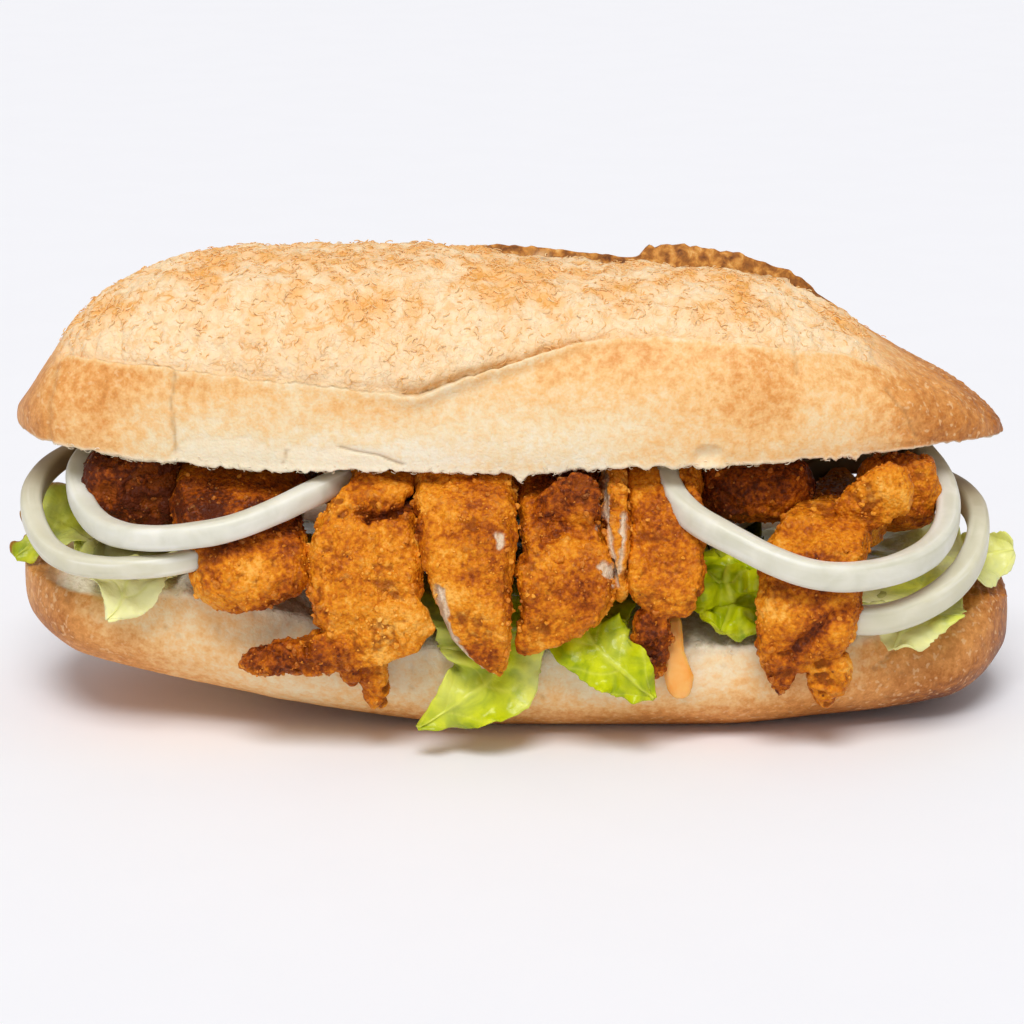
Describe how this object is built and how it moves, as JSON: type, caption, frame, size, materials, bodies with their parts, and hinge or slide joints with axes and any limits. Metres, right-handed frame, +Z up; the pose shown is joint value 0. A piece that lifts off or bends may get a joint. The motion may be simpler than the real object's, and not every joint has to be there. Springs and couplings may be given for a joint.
{
  "type": "breaded cutlet torta",
  "caption": "Long crusty roll split in two and filled with strips of breaded cutlet, raw onion rings and lettuce, with the filling hanging over its front edge.",
  "frame": {"origin": "middle of the sandwich's bounding box, on the table", "axes": "+X along the roll, +Z up, -Y the side that the filling hangs over"},
  "size_m": [0.2716, 0.1212, 0.1244],
  "materials": {
    "bread": "dry, floury crust",
    "cutlet": "rough fried crumb with a little oil",
    "onion": "moist and slightly see-through",
    "lettuce": "crisp and moist",
    "sauce": "glossy"
  },
  "bodies": {
    "root": {"onion_left_upper": "onion", "onion_left_lower": "onion", "onion_right_upper": "onion", "onion_right_lower": "onion", "cutlet_far_left": "cutlet", "cutlet_left": "cutlet", "cutlet_left_front": "cutlet", "cutlet_middle": "cutlet", "cutlet_centre": "cutlet", "cutlet_slice": "cutlet", "cutlet_right": "cutlet", "cutlet_right_back": "cutlet", "cutlet_far_right": "cutlet", "cutlet_end": "cutlet", "lettuce_left": "lettuce", "lettuce_left_front": "lettuce", "lettuce_middle_left": "lettuce", "lettuce_middle_right": "lettuce", "lettuce_curl": "lettuce", "lettuce_right": "lettuce", "lettuce_right_front": "lettuce", "sauce_drip": "sauce", "bun_bottom": "bread", "bun_top": "bread"}
  },
  "joints": []
}
